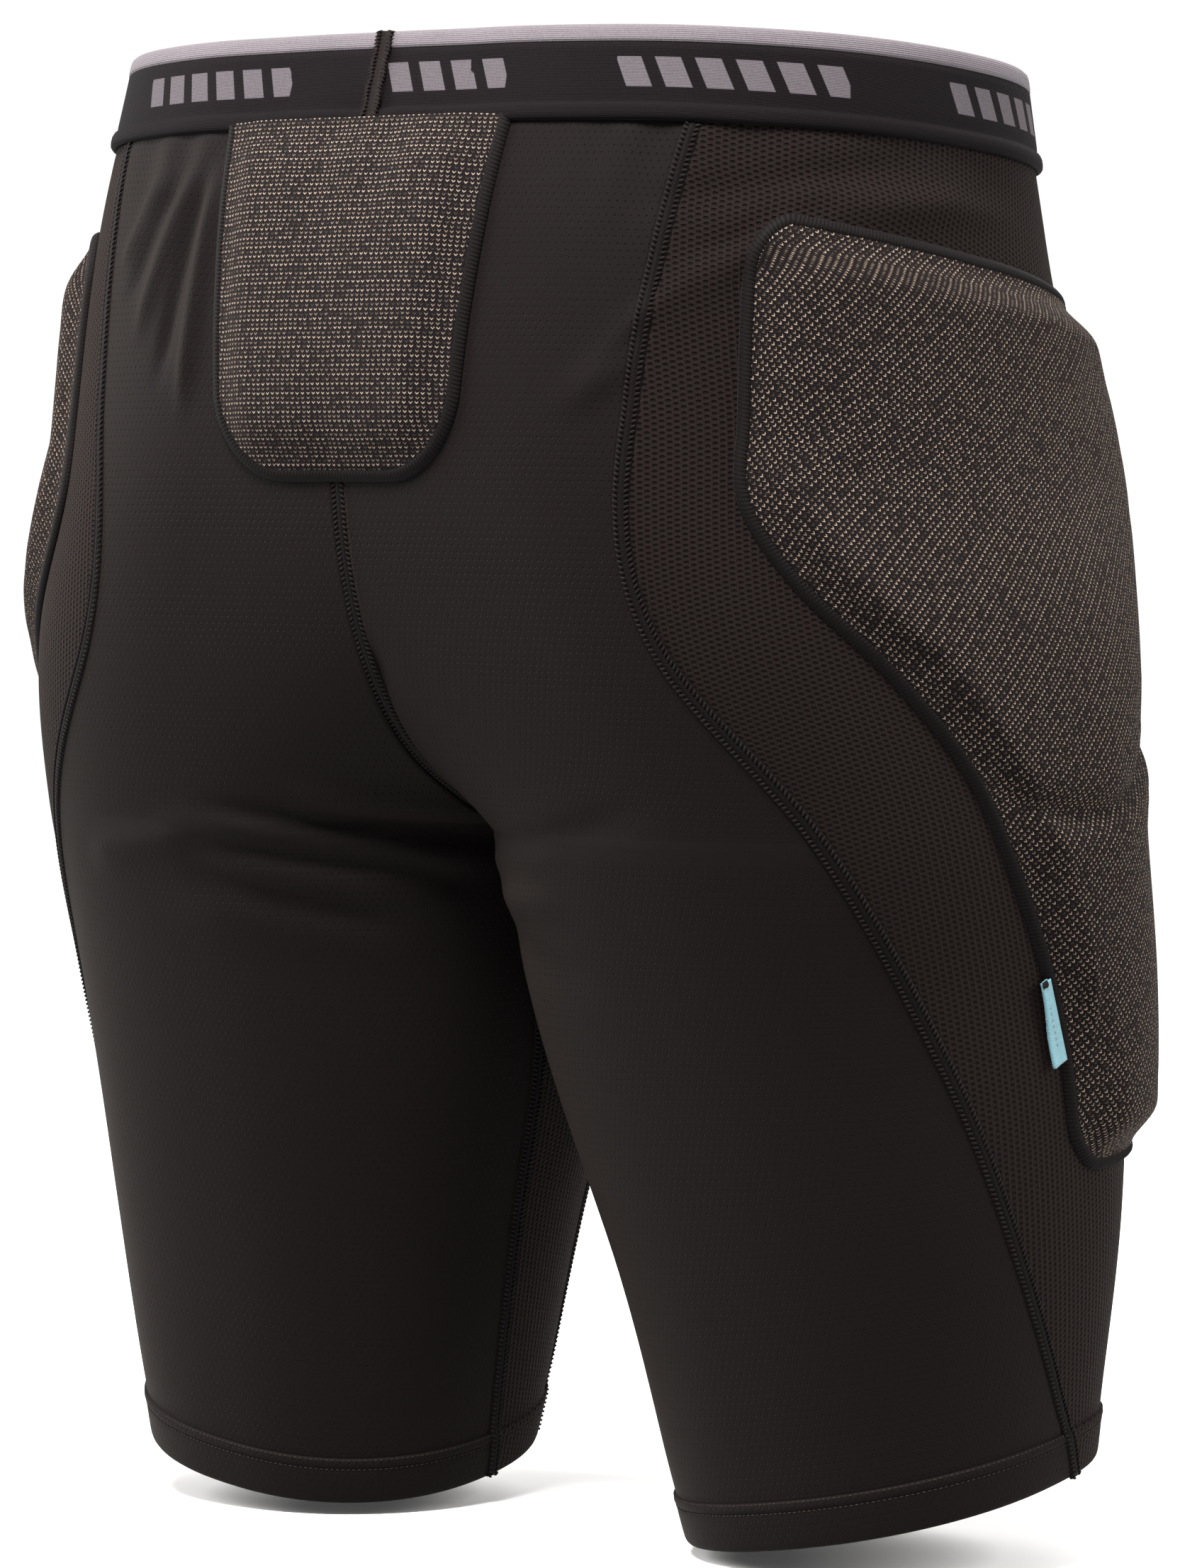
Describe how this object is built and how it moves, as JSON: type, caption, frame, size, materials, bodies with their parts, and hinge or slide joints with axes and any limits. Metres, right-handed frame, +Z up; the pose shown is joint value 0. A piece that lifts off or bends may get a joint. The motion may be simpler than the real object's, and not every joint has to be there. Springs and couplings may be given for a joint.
{
  "type": "padded impact shorts",
  "caption": "Close-fitting shorts with elastic waistband, knit and mesh panels, padded over tailbone, hips and thighs to soften falls.",
  "frame": {"origin": "middle of the waist opening, on the plane of symmetry, at the waistband's top edge", "axes": "+Z up along the wearer's body, +Y to the wearer's front, +X to the wearer's right"},
  "size_m": [0.4228, 0.2386, 0.4963],
  "materials": {
    "band": "black ribbed elastic webbing, matte",
    "stripe": "grey elastic edge with fine crosswise lines, matte",
    "thread": "black stitching thread",
    "smooth_knit": "charcoal-black smooth stretch knit with tiny eyelets",
    "waffle_mesh": "brown-black waffle mesh",
    "fleck_cover": "black pad fabric with rows of off-white stitches",
    "foam": "dark protective foam sheet",
    "binding": "black overlock binding",
    "label": "light blue woven loop label"
  },
  "bodies": {
    "pelvis": {"waistband_elastic": "band", "waistband_stripe": "stripe", "waistband_join_seam": "thread", "tailbone_pad_cover": "fleck_cover", "tailbone_pad_foam": "foam", "tailbone_pad_binding": "binding", "centre_back_seam": "thread", "crotch_seam": "thread", "centre_front_seam": "thread", "right_back_panel": "smooth_knit", "right_side_mesh_panel": "waffle_mesh", "right_front_panel": "smooth_knit", "right_inner_thigh_panel": "waffle_mesh", "right_back_side_seam": "thread", "right_front_side_seam": "thread", "right_inner_thigh_back_seam": "thread", "right_inner_thigh_front_seam": "thread", "right_pad_cover": "fleck_cover", "right_pad_binding": "binding", "right_hip_pad_foam": "foam", "left_back_panel": "smooth_knit", "left_side_mesh_panel": "waffle_mesh", "left_front_panel": "smooth_knit", "left_inner_thigh_panel": "waffle_mesh", "left_back_side_seam": "thread", "left_front_side_seam": "thread", "left_inner_thigh_back_seam": "thread", "left_inner_thigh_front_seam": "thread", "left_pad_cover": "fleck_cover", "left_pad_binding": "binding", "left_hip_pad_foam": "foam"},
    "right_leg": {"right_hem": "smooth_knit", "right_thigh_pad_foam": "foam"},
    "left_leg": {"left_hem": "smooth_knit", "left_thigh_pad_foam": "foam"},
    "label": {"loop_label": "label"}
  },
  "joints": [
    {"name": "right_hip_flex", "type": "hinge", "parent": "pelvis", "child": "right_leg", "pos_m": [0.1, -0.005, -0.162], "axis": [1, 0, 0], "range_deg": [-12, 40], "stiffness_Nm_per_rad": 0.05, "deforming": ["right_back_panel", "right_side_mesh_panel", "right_front_panel", "right_inner_thigh_panel", "right_back_side_seam", "right_front_side_seam", "right_inner_thigh_back_seam", "right_inner_thigh_front_seam", "right_pad_cover", "right_pad_binding"]},
    {"name": "left_hip_flex", "type": "hinge", "parent": "pelvis", "child": "left_leg", "pos_m": [-0.1, -0.005, -0.162], "axis": [1, 0, 0], "range_deg": [-12, 40], "stiffness_Nm_per_rad": 0.05, "deforming": ["left_back_panel", "left_side_mesh_panel", "left_front_panel", "left_inner_thigh_panel", "left_back_side_seam", "left_front_side_seam", "left_inner_thigh_back_seam", "left_inner_thigh_front_seam", "left_pad_cover", "left_pad_binding"]},
    {"name": "label_flap", "type": "hinge", "parent": "right_leg", "child": "label", "pos_m": [0.20024, -0.00763, -0.30864], "axis": [0.0181, -0.3612, 0.9323], "range_deg": [0, 80], "stiffness_Nm_per_rad": 0.0001}
  ]
}
